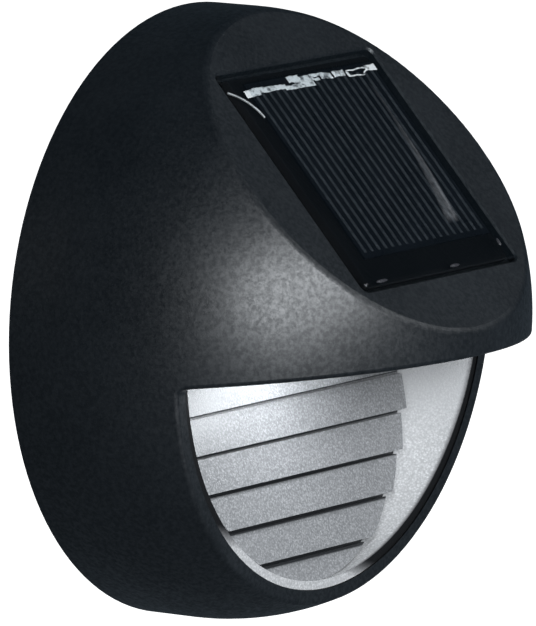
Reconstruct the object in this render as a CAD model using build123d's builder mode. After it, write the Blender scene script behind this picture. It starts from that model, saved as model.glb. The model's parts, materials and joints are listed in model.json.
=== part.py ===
from build123d import *
import os
from math import asin, cos, degrees, radians, sin, sqrt, tan

os.makedirs("parts", exist_ok=True)

# A round solar light for a fence or wall. Millimetres, +Z up. The fence is on the +Y side and its
# face is the plane Y = 0. A "depth" is a distance out from the fence, so depth d lies at Y = -d.

# ---- lamp body ----
body_radius = 60.0            # round outline against the fence
fence_gap = 0.8               # fence to the housing's back edge, so that the lamp can turn
skirt_depth = 10.5            # depth at which the straight side turns into the dome
dome_depth = 58.5             # the dome's rise in front of the skirt
wall = 2.4                    # moulded wall
rebate_ledge = 2.2            # step inside the housing that the back cover's seal lies on

# ---- sloped flat with the panel recess ----
flat_tilt = 48.0              # degrees from level
flat_foot = 1.7               # height of the flat's lower edge over the nose
flat_wall = 4.2
flat_edge_radius = 2.0
recess_side_margin = 1.38     # recess to the square that fits in the flat's outline, each side
recess_end_margin = 1.32      # the same, at the upper and lower ends
recess_depth = 2.0
recess_rise = 0.2             # recess centre, up the slope from the flat's centre
recess_corner = 1.6
recess_chamfer = 0.4
lead_hole_radius = 3.2
lead_hole_rise = 11.7         # up the slope from the recess centre

# ---- lid edge and pocket mouth ----
lid_height = -6.3             # lid edge where it meets the rim
lid_rise = 4.6                # degrees, the lid edge climbs towards the front
rim_depth = 35.7              # rim of the mouth at the lid edge
rim_lean = 2.2                # degrees, the rim is nearer the fence at the bottom
mouth_corner_radius = 1.5
mouth_edge_radius = 1.0

# ---- reflector pan, seen in the pocket ----
field_depth = 22.3            # field behind the louvre, at lid_height
field_lean = 8.5              # degrees, the field stands out further at the bottom
field_drop = 4.0              # centre of the field's half oval under lid_height
pan_side_flare = 12.1         # the mouth is wider than the field, each side
pan_bottom_flare = 8.5        # and further down
lip_width = 0.74              # front edge of the flared wall
pan_wall = 1.5
pan_clearance = 0.2           # to the inside of the housing
pan_setback = 0.3             # lip behind the housing's rim
soffit_recess = 1.2           # plate under the lid, above the lid edge
lug_thickness = 2.0
lug_length = 17.0
lug_height = 8.0
lug_inset = 5.9               # from a screw to the middle of its lug
lug_angle = 16.0              # degrees under level
pan_boss_length = 4.5
pan_pilot_depth = 3.8
pan_screw_length = 5.4
pan_screw_head_height = 1.8

# ---- louvre ----
slat_count = 6
slat_pitch = 7.75
first_slat_drop = 1.1         # top of the first slat under lid_height
slat_top_stand = 1.5          # front of a slat's top above the field
slat_foot_stand = 2.8         # front of its foot
groove_height = 0.8
groove_floor = 0.6            # what is left in front of the field
louvre_clearance = 0.3

# ---- back cover, its seal and screws ----
cover_back = 6.6
cover_thickness = 2.8
cover_clearance = 0.3
gasket_thickness = 1.0
gasket_width = 1.3
gasket_clearance = 0.2
boss_radius = 3.5
boss_inset = 5.2              # rebate wall to the middle of a boss
cover_screw_count = 4
first_screw_angle = 45.0      # degrees above level
boss_length = 14.6
pilot_radius = 1.2
pilot_depth = 11.0
screw_radius = 1.15
screw_hole_radius = 1.6
screw_head_radius = 2.8
screw_sink_angle = 82.0       # degrees, cone of a countersunk head
screw_sink_clearance = 0.2
screw_length = 12.0

# ---- twist mount ----
stud_count = 3
stud_circle = 36.0
neck_radius = 2.5
head_radius = 4.4
head_thickness = 1.6
stud_clearance = 0.3
twist_angle = 18.0            # degrees that the lamp turns to come off
plate_gap = 1.0               # housing wall to the plate's edge
plate_thickness = 2.4
plate_rim_width = 2.6
plate_rim_height = 2.6
plate_rib_width = 1.6
plate_rib_count = 6
plate_rib_height = 1.4
plate_edge_radius = 0.6
hub_radius = 9.0
hub_width = 1.6
fence_screw_spacing = 60.0
fence_slot_radius = 2.25
fence_slot_length = 9.0

# ---- battery and its box ----
battery_radius = 5.25
battery_length = 43.7
nub_radius = 1.9
nub_length = 0.8
battery_height = 10.0         # axis above the lamp's centre
box_clearance = 0.55          # around the battery
box_wall = 1.5
contact_thickness = 0.4
contact_width = 8.0
contact_rise = 4.6            # half height of a contact plate
leaf_reach = 2.6              # from the box end to the battery
tab_width = 2.4
notch_clearance = 0.3
door_rebate = 1.6
door_clearance = 0.2
door_ledge = 1.4              # around the box opening
door_tongue = 8.0             # past the box, for the screw
door_corner = 1.5
door_boss_radius = 2.9
door_boss_length = 5.0
door_pilot_radius = 0.95
door_screw_radius = 0.9
door_screw_hole = 1.1
door_screw_head_radius = 2.1
door_screw_length = 6.0
leaf_width = 5.0
leaf_thickness = 0.3
leaf_rise = 3.4               # half height of the leaf spring
solder_overlap = 2.0          # contact tab on the board

# ---- boards ----
board_width = 48.0
board_height = 20.0
board_thickness = 1.6
board_lift = 30.0             # centre above the lamp's centre
board_standoff = 4.0
post_radius = 2.6
board_screw_radius = 0.75
board_screw_hole = 1.0
board_screw_head_radius = 1.7
board_screw_head_height = 1.1
board_screw_length = 4.4
board_pilot_radius = 0.8
board_pilot_depth = 3.4
board_corner = 1.0
post_points = [(-20.0, 36.4), (20.0, 24.4)]
chip_size = (5.0, 4.0, 1.6)
chip_point = (-9.0, 33.0)
coil_radius = 2.2
coil_length = 6.5
coil_point = (11.0, 35.5)
capacitor_radius = 2.5
capacitor_height = 6.0
capacitor_point = (13.0, 28.5)

# ---- slide switch ----
switch_point = (-13.0, 27.0)
switch_length = 8.6
switch_width = 4.4
switch_gap = 0.2              # to the back cover
knob_length = 2.6
knob_width = 2.2
knob_travel = 2.0
knob_clearance = 0.2
knob_stand = 1.0              # behind the back cover
knob_sink = 2.2               # inside the switch
window_clearance = 0.6
knob_grip_count = 3
knob_grip_pitch = 0.8
knob_grip_width = 0.3
knob_grip_depth = 0.3

# ---- lamps and their board ----
led_spacing = 22.0
led_depth = 30.0
led_radius = 2.4
led_flange_radius = 2.8
led_flange_height = 1.0
led_length = 7.0
led_clearance = 0.2
led_board_width = 52.0
led_board_depth = 10.0
led_board_thickness = 1.4
led_post_height = 3.0
led_post_spacing = 42.0

# ---- solar panel ----
backing_margin = 1.3          # recess wall to the backing board
backing_thickness = 1.0
cell_left_margin = 7.9        # recess wall to the cell, which sits to one side
cell_right_margin = 2.1
cell_end_margin = 5.1
cell_thickness = 0.4
cell_rise = 2.25              # cell centre up the slope from the recess centre
ribbon_width = 1.5
ribbon_thickness = 0.15
ribbon_inset = 0.2
backing_corner = 1.0
panel_clearance = 0.1
cover_gap = 0.3               # recess wall to the clear cover
cover_stand = 0.8             # top of the clear cover above the flat
cover_edge_radius = 0.9
cell_cover_gap = 0.3

# ---- wires ----
lead_radius = 0.6
lead_pitch = 3.0
lead_bend = 4.0
panel_lead_straight = 10.0    # from the panel, square to the flat
led_lead_rise = 26.0          # height at which they run back to the board


# ---- planes ----
def tilted_plane(depth, height, front, up):
    return Plane(origin=(0, -depth, height), x_dir=(1, 0, 0), z_dir=(0, -front, up))


def front_plane(depth):
    # faces away from the fence: local x is +X, local y is +Z
    return Plane.XZ.offset(depth)


def fence_side_plane(depth):
    # faces the fence: local x is +X, local y is -Z
    return Plane(origin=(0, -depth, 0), x_dir=(1, 0, 0), z_dir=(0, 1, 0))


flat_front = sin(radians(flat_tilt))
flat_up = cos(radians(flat_tilt))
foot_depth = skirt_depth + dome_depth * sqrt(1 - (flat_foot / body_radius) ** 2)
flat_distance = foot_depth * flat_front + flat_foot * flat_up
flat_plane = tilted_plane(
    flat_distance * flat_front, flat_distance * flat_up, flat_front, flat_up
)
rim_plane = tilted_plane(rim_depth, lid_height, cos(radians(rim_lean)), -sin(radians(rim_lean)))
lid_plane = tilted_plane(rim_depth, lid_height, -sin(radians(lid_rise)), cos(radians(lid_rise)))
field_plane = tilted_plane(field_depth, lid_height, cos(radians(field_lean)), sin(radians(field_lean)))
soffit_bottom = lid_plane.offset(soffit_recess)
soffit_top = soffit_bottom.offset(pan_wall)
recess_floor = flat_plane.offset(-recess_depth)

# ---- outline of the flat, where its plane cuts the dome ----
# the dome is measured as a ball of body_radius, so its depths count dome_flatness times less
dome_flatness = dome_depth / body_radius
ball_slope = sqrt((flat_front * dome_flatness) ** 2 + flat_up ** 2)
ball_distance = (flat_distance - skirt_depth * flat_front) / ball_slope
flat_half_width = sqrt(body_radius ** 2 - ball_distance ** 2)
flat_half_length = flat_half_width / sqrt((flat_up / dome_flatness) ** 2 + flat_front ** 2)
flat_middle_depth = skirt_depth + ball_distance * flat_front * dome_flatness ** 2 / ball_slope
flat_middle_height = ball_distance * flat_up / ball_slope
flat_middle = flat_middle_height * flat_front - flat_middle_depth * flat_up
recess_middle = flat_middle + recess_rise
recess_width = 2 * (flat_half_width * sin(radians(45)) - recess_side_margin)
recess_length = 2 * (flat_half_length * sin(radians(45)) - recess_end_margin)
backing_width = recess_width - 2 * backing_margin
backing_length = recess_length - 2 * backing_margin
cell_width = recess_width - cell_left_margin - cell_right_margin
cell_shift = (cell_left_margin - cell_right_margin) / 2
cell_length = recess_length - 2 * cell_end_margin

# ---- places that follow from the sizes ----
reach = body_radius + dome_depth                       # longer than any part of the lamp
cover_front = cover_back + cover_thickness
ledge_depth = cover_front + gasket_thickness
rebate_radius = body_radius - wall
cavity_radius = rebate_radius - rebate_ledge
boss_circle = rebate_radius - boss_inset
lug_circle = boss_circle - lug_inset
plate_radius = rebate_radius - plate_gap
pan_radius = rebate_radius - pan_clearance
pan_depth = dome_depth - wall - pan_clearance
mouth_radius = pan_radius * sqrt(1 - ((rim_depth - skirt_depth) / pan_depth) ** 2) - lip_width
field_half_width = mouth_radius - pan_side_flare
field_half_height = mouth_radius - pan_bottom_flare
lug_back = field_depth - pan_wall
lug_front = lug_back + lug_thickness
oval_center = -field_drop
mouth_center = -lid_height / cos(radians(rim_lean))
led_line = (rim_depth - led_depth) / cos(radians(lid_rise))
soffit_edge = (rim_depth - lug_back) / cos(radians(lid_rise))
stud_angles = [90 + turn * 360 / stud_count for turn in range(stud_count)]
head_depth = cover_front + stud_clearance
board_back = cover_front + board_standoff
board_front = board_back + board_thickness
door_depth = cover_back + door_rebate
battery_depth = door_depth + box_clearance + battery_radius
box_floor = battery_depth + battery_radius + box_clearance
box_front = box_floor + box_wall
box_height = 2 * (battery_radius + box_clearance)
box_length = contact_thickness + nub_length + battery_length + leaf_reach
box_end = box_length / 2
battery_top = box_end - contact_thickness - nub_length  # shoulder of the cell, at the nub
door_width = box_length + 2 * door_ledge + door_tongue
door_height = box_height + 2 * door_ledge
door_screw_x = box_end + door_ledge + door_tongue / 2
screw_head_height = (screw_head_radius - screw_radius) / tan(radians(screw_sink_angle / 2))
door_head_height = (door_screw_head_radius - door_screw_radius) / tan(radians(screw_sink_angle / 2))


def save(piece, name):
    piece.part.label = name
    export_step(piece.part, f"parts/{name}.step")


def lug_places(radius):
    # both sides of the pan, lug_angle under level
    return PolarLocations(
        radius, 2, start_angle=180 + lug_angle, angular_range=180 - 2 * lug_angle, endpoint=True
    )


def dome_half_section(radius, rise):
    # half section through the axis: straight side, then a quarter ellipse to the nose
    with BuildSketch(Plane.XY) as section:
        with BuildLine():
            Polyline(
                (0, -skirt_depth - rise),
                (0, -fence_gap),
                (radius, -fence_gap),
                (radius, -skirt_depth),
            )
            EllipticalCenterArc((0, -skirt_depth), radius, rise, start_angle=270, arc_size=90)
        make_face()
    return section.sketch


def cavity_body(inset):
    # the space inside the housing's walls, made smaller by inset
    with BuildPart() as space:
        with BuildSketch(Plane.XY):
            add(dome_half_section(body_radius - wall - inset, dome_depth - wall - inset))
            Rectangle(
                cavity_radius - inset,
                2 * reach,
                align=(Align.MIN, Align.CENTER),
                mode=Mode.INTERSECT,
            )
        revolve(axis=Axis.Y)
        split(bisect_by=flat_plane.offset(-flat_wall - inset), keep=Keep.BOTTOM)
    return space.part


def half_oval(plane, center_y, half_width, half_height, top_y):
    # lower part of an oval, closed by a level line at top_y
    top_angle = degrees(asin((top_y - center_y) / half_height))
    with BuildSketch(plane) as oval:
        with BuildLine():
            bottom = EllipticalCenterArc(
                (0, center_y),
                half_width,
                half_height,
                start_angle=180 - top_angle,
                arc_size=180 + 2 * top_angle,
            )
            Line(bottom @ 1, bottom @ 0)
        make_face()
    return oval.sketch


def field_oval(grow, top_y, stand=0.0):
    return half_oval(
        field_plane.offset(stand),
        oval_center,
        field_half_width + grow,
        field_half_height + grow,
        top_y,
    )


# ---- housing: one moulding with dome, flat, panel recess, lid, mouth and bosses ----
with BuildPart() as housing:
    revolve(dome_half_section(body_radius, dome_depth), axis=Axis.Y)
    split(bisect_by=flat_plane, keep=Keep.BOTTOM)
    flat_face = housing.faces().filter_by(Axis(flat_plane.origin, flat_plane.z_dir))
    fillet(flat_face.edges(), flat_edge_radius)

    # the mouth is cut away below the lid edge and in front of the rim
    with BuildSketch(Plane.YZ) as mouth:
        with BuildLine():
            Polyline(
                (-rim_depth, lid_height),
                (-rim_depth - reach, lid_height + reach * tan(radians(lid_rise))),
                (-rim_depth - reach, lid_height - reach),
                (-rim_depth + reach * tan(radians(rim_lean)), lid_height - reach),
                close=True,
            )
        make_face()
        fillet(mouth.vertices().sort_by_distance((-rim_depth, lid_height))[0], mouth_corner_radius)
    extrude(amount=reach, both=True, mode=Mode.SUBTRACT)
    rim_face = housing.faces().filter_by(Axis(rim_plane.origin, rim_plane.z_dir))
    lid_face = housing.faces().filter_by(Axis(lid_plane.origin, lid_plane.z_dir))
    corner_face = housing.faces().sort_by_distance((0, -rim_depth, lid_height))[0]
    mouth_edges = (rim_face.edges() + lid_face.edges() + corner_face.edges()).filter_by(
        GeomType.LINE, reverse=True
    )
    fillet(mouth_edges, mouth_edge_radius)

    # hollow inside, with a rebate for the back cover
    add(cavity_body(0), mode=Mode.SUBTRACT)
    with BuildSketch(front_plane(0)):
        Circle(rebate_radius)
    extrude(amount=ledge_depth, mode=Mode.SUBTRACT)

    # recess for the panel with a chamfered edge, and the hole for its wires
    with BuildSketch(flat_plane):
        with Locations((0, recess_middle)):
            RectangleRounded(recess_width, recess_length, recess_corner)
    extrude(amount=-recess_depth, mode=Mode.SUBTRACT)
    with BuildSketch(flat_plane):
        with Locations((0, recess_middle)):
            RectangleRounded(
                recess_width + 2 * recess_chamfer,
                recess_length + 2 * recess_chamfer,
                recess_corner + recess_chamfer,
            )
    extrude(amount=-recess_chamfer, taper=45, mode=Mode.SUBTRACT)
    with Locations(recess_floor):
        with Locations((0, recess_middle + lead_hole_rise)):
            Hole(lead_hole_radius, depth=2 * flat_wall)

    # bosses of the back cover's screws and of the reflector's screws
    with BuildSketch(front_plane(cover_front)):
        with PolarLocations(boss_circle, cover_screw_count, start_angle=first_screw_angle):
            Circle(boss_radius)
    extrude(amount=boss_length)
    with Locations(fence_side_plane(cover_front)):
        with PolarLocations(boss_circle, cover_screw_count, start_angle=first_screw_angle):
            Hole(pilot_radius, depth=pilot_depth)
    with BuildSketch(front_plane(lug_front)):
        with lug_places(boss_circle):
            Circle(boss_radius)
    extrude(amount=pan_boss_length)
    with BuildSketch(front_plane(lug_front)):
        with lug_places(boss_circle):
            Circle(pilot_radius)
    extrude(amount=pan_pilot_depth, mode=Mode.SUBTRACT)
save(housing, "housing")

# ---- reflector: flared pan behind the mouth, plate under the lid and two lugs ----
with BuildPart() as pan_void:
    add(field_oval(0, field_drop))
    add(half_oval(rim_plane, mouth_center, mouth_radius, mouth_radius, field_drop))
    loft()
    split(bisect_by=soffit_bottom, keep=Keep.BOTTOM)

with BuildPart() as reflector:
    add(field_oval(pan_wall, field_drop, stand=-pan_wall))
    lip_radius = mouth_radius + 2 * pan_wall
    add(half_oval(rim_plane.offset(-pan_setback), mouth_center, lip_radius, lip_radius, field_drop))
    loft()
    split(bisect_by=soffit_top, keep=Keep.BOTTOM)
    # plate under the lid, as wide as the space inside the lid
    with BuildSketch(soffit_bottom):
        with Locations((0, soffit_edge)):
            Rectangle(2 * reach, 2 * reach, align=(Align.CENTER, Align.MAX))
    extrude(amount=pan_wall)
    with BuildSketch(front_plane(lug_back)):
        with lug_places(lug_circle):
            Rectangle(lug_length, lug_height)
    extrude(amount=lug_thickness)
    add(cavity_body(pan_clearance), mode=Mode.INTERSECT)
    add(pan_void.part, mode=Mode.SUBTRACT)
    with BuildSketch(front_plane(lug_back)):
        with lug_places(boss_circle):
            Circle(screw_hole_radius)
    extrude(amount=lug_thickness, mode=Mode.SUBTRACT)
    # posts for the lamp board, and the holes that the lamps shine through
    with BuildSketch(soffit_top):
        with Locations((0, led_line)):
            with GridLocations(led_post_spacing, 0, 2, 1):
                Circle(post_radius)
    extrude(amount=led_post_height)
    with Locations(soffit_top.offset(led_post_height)):
        with Locations((0, led_line)):
            with GridLocations(led_post_spacing, 0, 2, 1):
                Hole(board_pilot_radius, depth=board_pilot_depth)
            with GridLocations(led_spacing, 0, 2, 1):
                Hole(led_radius + led_clearance, depth=2 * (led_post_height + pan_wall))
save(reflector, "reflector")

# ---- louvre: stepped slats, each foot standing proud of the next slat's top ----
louvre_side = Plane(
    origin=field_plane.origin,
    x_dir=field_plane.z_dir,
    z_dir=field_plane.z_dir.cross(field_plane.y_dir),
)
slat_top = -first_slat_drop
slat_outline = [(0, slat_top)]
for slat in range(slat_count):
    slat_foot = -first_slat_drop - (slat + 1) * slat_pitch
    slat_outline.append((slat_top_stand, slat_top))
    slat_outline.append((slat_foot_stand, slat_foot))
    slat_outline.append((groove_floor, slat_foot))
    slat_top = slat_foot - groove_height
    slat_outline.append((groove_floor, slat_top))
slat_outline.append((0, slat_top))

with BuildPart() as louvre_limit:
    add(field_oval(-louvre_clearance, -first_slat_drop))
    extrude(amount=slat_foot_stand, dir=field_plane.z_dir)

with BuildPart() as louvre:
    with BuildSketch(louvre_side):
        with BuildLine():
            Polyline(*slat_outline, close=True)
        make_face()
    extrude(amount=field_half_width, both=True)
    add(louvre_limit.part, mode=Mode.INTERSECT)
save(louvre, "louvre")

# ---- back cover: disc with battery box, board posts and curved keyhole slots ----
stud_slots = [
    CenterArc((0, 0), stud_circle, angle - twist_angle, twist_angle) for angle in stud_angles
]
with BuildPart() as back_cover:
    with BuildSketch(front_plane(cover_back)):
        Circle(rebate_radius - cover_clearance)
    extrude(amount=cover_thickness)
    with BuildSketch(front_plane(cover_front)):
        with Locations((0, battery_height)):
            Rectangle(box_length + 2 * box_wall, box_height + 2 * box_wall)
    extrude(amount=box_front - cover_front)
    with BuildSketch(front_plane(cover_front)):
        with Locations(*post_points):
            Circle(post_radius)
    extrude(amount=board_standoff)
    with BuildSketch(front_plane(cover_front)):
        with Locations((door_screw_x, battery_height)):
            Circle(door_boss_radius)
    extrude(amount=door_boss_length)

    # inside of the battery box, its door's rebate and the notches of the contact tabs
    with BuildSketch(front_plane(cover_back)):
        with Locations((0, battery_height)):
            Rectangle(box_length, box_height)
    extrude(amount=box_floor - cover_back, mode=Mode.SUBTRACT)
    with BuildSketch(front_plane(cover_back)):
        with Locations((door_tongue / 2, battery_height)):
            RectangleRounded(door_width, door_height, door_corner)
    extrude(amount=door_rebate, mode=Mode.SUBTRACT)
    with BuildSketch(front_plane(cover_front)):
        with Locations((0, battery_height + (box_height + box_wall) / 2)):
            with GridLocations(box_length - contact_thickness, 0, 2, 1):
                Rectangle(contact_thickness + 2 * notch_clearance, 2 * box_wall)
    extrude(amount=board_standoff + notch_clearance, mode=Mode.SUBTRACT)
    with Locations(front_plane(cover_front + board_standoff)):
        with Locations(*post_points):
            Hole(board_pilot_radius, depth=board_pilot_depth)

    # curved keyholes: the studs stand at their narrow ends
    with BuildSketch(front_plane(cover_back)):
        for stud_slot in stud_slots:
            SlotArc(stud_slot, 2 * (neck_radius + stud_clearance))
        with PolarLocations(stud_circle, stud_count, start_angle=stud_angles[0] - twist_angle):
            Circle(head_radius + stud_clearance)
    extrude(amount=cover_thickness, mode=Mode.SUBTRACT)

    # window of the switch knob, and the screw holes
    with BuildSketch(front_plane(cover_back)):
        with Locations(switch_point):
            Rectangle(
                knob_length + knob_travel + 2 * window_clearance,
                knob_width + 2 * window_clearance,
            )
    extrude(amount=cover_thickness, mode=Mode.SUBTRACT)
    with Locations(fence_side_plane(cover_back)):
        with PolarLocations(boss_circle, cover_screw_count, start_angle=first_screw_angle):
            CounterSinkHole(
                screw_hole_radius,
                screw_head_radius + screw_sink_clearance,
                depth=cover_thickness,
                counter_sink_angle=screw_sink_angle,
            )
    with Locations(fence_side_plane(door_depth)):
        with Locations((door_screw_x, -battery_height)):
            Hole(door_pilot_radius, depth=door_boss_length)
save(back_cover, "back_cover")

with BuildPart() as cover_gasket:
    with BuildSketch(front_plane(cover_front)):
        Circle(rebate_radius - gasket_clearance)
        Circle(rebate_radius - gasket_clearance - gasket_width, mode=Mode.SUBTRACT)
    extrude(amount=gasket_thickness)
save(cover_gasket, "cover_gasket")

with BuildPart() as cover_screws:
    with Locations(front_plane(cover_back)):
        with PolarLocations(boss_circle, cover_screw_count, start_angle=first_screw_angle):
            Cone(
                screw_head_radius,
                screw_radius,
                screw_head_height,
                align=(Align.CENTER, Align.CENTER, Align.MIN),
            )
            Cylinder(screw_radius, screw_length, align=(Align.CENTER, Align.CENTER, Align.MIN))
save(cover_screws, "cover_screws")

with BuildPart() as reflector_screws:
    with Locations(front_plane(lug_back)):
        with lug_places(boss_circle):
            Cylinder(
                screw_head_radius,
                pan_screw_head_height,
                align=(Align.CENTER, Align.CENTER, Align.MAX),
            )
            Cylinder(screw_radius, pan_screw_length, align=(Align.CENTER, Align.CENTER, Align.MIN))
save(reflector_screws, "reflector_screws")

# ---- battery door, its screw, the battery and its contacts ----
with BuildPart() as battery_door:
    with BuildSketch(front_plane(cover_back)):
        with Locations((door_tongue / 2, battery_height)):
            RectangleRounded(
                door_width - 2 * door_clearance,
                door_height - 2 * door_clearance,
                door_corner - door_clearance,
            )
    extrude(amount=door_rebate)
    with Locations(fence_side_plane(cover_back)):
        with Locations((door_screw_x, -battery_height)):
            CounterSinkHole(
                door_screw_hole,
                door_screw_head_radius + screw_sink_clearance,
                depth=door_rebate,
                counter_sink_angle=screw_sink_angle,
            )
save(battery_door, "battery_door")

with BuildPart() as battery_door_screw:
    with Locations(front_plane(cover_back)):
        with Locations((door_screw_x, battery_height)):
            Cone(
                door_screw_head_radius,
                door_screw_radius,
                door_head_height,
                align=(Align.CENTER, Align.CENTER, Align.MIN),
            )
            Cylinder(
                door_screw_radius,
                door_screw_length,
                align=(Align.CENTER, Align.CENTER, Align.MIN),
            )
save(battery_door_screw, "battery_door_screw")

battery_axis = Plane(origin=(battery_top, -battery_depth, battery_height), z_dir=(1, 0, 0))
with BuildPart() as battery:
    with BuildSketch(battery_axis):
        Circle(battery_radius)
    extrude(amount=-battery_length)
    fillet(battery.edges(), box_clearance)
    with BuildSketch(battery_axis):
        Circle(nub_radius)
    extrude(amount=nub_length)
save(battery, "battery")

tab_top = board_lift - board_height / 2 + solder_overlap


def contact_plate(outer_x, inner_x):
    # upright plate at the end of the battery box, with a tab that reaches the board
    thickness = abs(outer_x - inner_x)
    middle = (outer_x + inner_x) / 2
    with BuildSketch(Plane.YZ.offset(middle)) as plate:
        with Locations((-battery_depth, battery_height)):
            Rectangle(contact_width, 2 * contact_rise)
        with Locations((-board_back, battery_height)):
            Rectangle(tab_width, tab_top - battery_height, align=(Align.MIN, Align.MIN))
    extrude(plate.sketch, amount=thickness / 2, both=True)


with BuildPart() as battery_contact_plus:
    contact_plate(box_end, box_end - contact_thickness)
save(battery_contact_plus, "battery_contact_plus")

with BuildPart() as battery_contact_minus:
    contact_plate(-box_end, -box_end + contact_thickness)
    with BuildSketch(front_plane(battery_depth - leaf_width / 2)):
        with BuildLine():
            Polyline(
                (-box_end + contact_thickness, battery_height + leaf_rise),
                (-box_end + leaf_reach - leaf_thickness, battery_height),
                (-box_end + contact_thickness + leaf_thickness, battery_height - leaf_rise),
            )
        trace(line_width=leaf_thickness)
    extrude(amount=leaf_width)
save(battery_contact_minus, "battery_contact_minus")

# ---- control board with its parts, and the screws of both boards ----
with BuildPart() as control_board:
    with BuildSketch(front_plane(board_back)):
        with Locations((0, board_lift)):
            RectangleRounded(board_width, board_height, board_corner)
        with Locations(*post_points):
            Circle(board_screw_hole, mode=Mode.SUBTRACT)
    extrude(amount=board_thickness)
save(control_board, "control_board")

with BuildPart() as board_parts:
    with Locations(front_plane(board_front)):
        with Locations(chip_point):
            Box(*chip_size, align=(Align.CENTER, Align.CENTER, Align.MIN))
        with Locations(capacitor_point):
            Cylinder(
                capacitor_radius,
                capacitor_height,
                align=(Align.CENTER, Align.CENTER, Align.MIN),
            )
    with Locations(front_plane(board_front + coil_radius)):
        with Locations(coil_point):
            Cylinder(coil_radius, coil_length, rotation=(0, 90, 0))
save(board_parts, "board_parts")


def board_screw():
    # head on the board, shank through it into the post
    Cylinder(
        board_screw_head_radius,
        board_screw_head_height,
        align=(Align.CENTER, Align.CENTER, Align.MIN),
    )
    Cylinder(board_screw_radius, board_screw_length, align=(Align.CENTER, Align.CENTER, Align.MAX))


led_board_bottom = soffit_top.offset(led_post_height)
led_board_top = led_board_bottom.offset(led_board_thickness)

with BuildPart() as board_screws:
    with Locations(front_plane(board_front)):
        with Locations(*post_points):
            board_screw()
    with Locations(led_board_top):
        with Locations((0, led_line)):
            with GridLocations(led_post_spacing, 0, 2, 1):
                board_screw()
save(board_screws, "board_screws")

# ---- slide switch and its knob, at rest at the left end of its slot ----
switch_back = cover_front + switch_gap
with BuildPart() as slide_switch:
    with BuildSketch(front_plane(switch_back)):
        with Locations(switch_point):
            Rectangle(switch_length, switch_width)
    extrude(amount=board_back - switch_back)
    with BuildSketch(front_plane(switch_back)):
        with Locations(switch_point):
            Rectangle(
                knob_length + knob_travel + 2 * knob_clearance,
                knob_width + 2 * knob_clearance,
            )
    extrude(amount=knob_sink + knob_clearance, mode=Mode.SUBTRACT)
save(slide_switch, "slide_switch")

knob_back = cover_back - knob_stand
with BuildPart() as switch_knob:
    with BuildSketch(front_plane(knob_back)):
        with Locations((switch_point[0] - knob_travel / 2, switch_point[1])):
            Rectangle(knob_length, knob_width)
    extrude(amount=switch_back + knob_sink - knob_back)
    with BuildSketch(front_plane(knob_back)):
        with Locations((switch_point[0] - knob_travel / 2, switch_point[1])):
            with GridLocations(knob_grip_pitch, 0, knob_grip_count, 1):
                Rectangle(knob_grip_width, knob_width)
    extrude(amount=knob_grip_depth, mode=Mode.SUBTRACT)
save(switch_knob, "switch_knob")

# ---- lamps and their board, over the plate under the lid ----
with BuildPart() as led_board:
    with BuildSketch(led_board_bottom):
        with Locations((0, led_line)):
            Rectangle(led_board_width, led_board_depth)
            with GridLocations(led_post_spacing, 0, 2, 1):
                Circle(board_screw_hole, mode=Mode.SUBTRACT)
    extrude(amount=led_board_thickness)
save(led_board, "led_board")

with BuildPart() as leds:
    with Locations(led_board_bottom):
        with Locations((0, led_line)):
            with GridLocations(led_spacing, 0, 2, 1):
                Cylinder(
                    led_flange_radius,
                    led_flange_height,
                    align=(Align.CENTER, Align.CENTER, Align.MAX),
                )
                Cylinder(
                    led_radius,
                    led_length - led_radius,
                    align=(Align.CENTER, Align.CENTER, Align.MAX),
                )
    with Locations(led_board_bottom.offset(led_radius - led_length)):
        with Locations((0, led_line)):
            with GridLocations(led_spacing, 0, 2, 1):
                Sphere(led_radius)
save(leds, "leds")

# ---- solar panel: backing board, cell, ribbon and clear cover in the recess ----
cell_bottom = recess_floor.offset(backing_thickness)
cell_top = cell_bottom.offset(cell_thickness)
cell_middle = recess_middle + cell_rise

with BuildPart() as panel_backing:
    with BuildSketch(recess_floor):
        with Locations((0, recess_middle)):
            RectangleRounded(backing_width, backing_length, backing_corner)
    extrude(amount=backing_thickness)
save(panel_backing, "panel_backing")

with BuildPart() as solar_cell:
    with BuildSketch(cell_bottom):
        with Locations((cell_shift, cell_middle)):
            Rectangle(cell_width, cell_length)
    extrude(amount=cell_thickness)
save(solar_cell, "solar_cell")

with BuildPart() as cell_ribbon:
    with BuildSketch(cell_top):
        with Locations((cell_shift, cell_middle + cell_length / 2 - ribbon_inset)):
            Rectangle(cell_width - 2 * ribbon_inset, ribbon_width, align=(Align.CENTER, Align.MAX))
    extrude(amount=ribbon_thickness)
save(cell_ribbon, "cell_ribbon")

with BuildPart() as panel_cover:
    with BuildSketch(recess_floor):
        with Locations((0, recess_middle)):
            RectangleRounded(
                recess_width - 2 * cover_gap,
                recess_length - 2 * cover_gap,
                recess_corner - cover_gap,
            )
    extrude(amount=recess_depth + cover_stand)
    cover_face = panel_cover.faces().filter_by(Axis(flat_plane.origin, flat_plane.z_dir))
    fillet(cover_face.sort_by_distance(flat_plane.offset(reach).origin)[0].edges(), cover_edge_radius)
    with BuildSketch(recess_floor):
        with Locations((0, recess_middle)):
            RectangleRounded(
                backing_width + 2 * panel_clearance,
                backing_length + 2 * panel_clearance,
                backing_corner + panel_clearance,
            )
    extrude(amount=backing_thickness, mode=Mode.SUBTRACT)
    with BuildSketch(cell_bottom):
        with Locations((cell_shift, cell_middle)):
            Rectangle(cell_width + 2 * panel_clearance, cell_length + 2 * panel_clearance)
    extrude(amount=cell_thickness + cell_cover_gap, mode=Mode.SUBTRACT)
save(panel_cover, "panel_cover")


# ---- wires: panel to control board, and control board to lamp board ----
def lead(points):
    with BuildLine() as route:
        FilletPolyline(*points, radius=lead_bend)
    with BuildSketch(Plane(origin=route.line @ 0, z_dir=route.line % 0)) as section:
        Circle(lead_radius)
    sweep(section.sketch, path=route.line)


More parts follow.
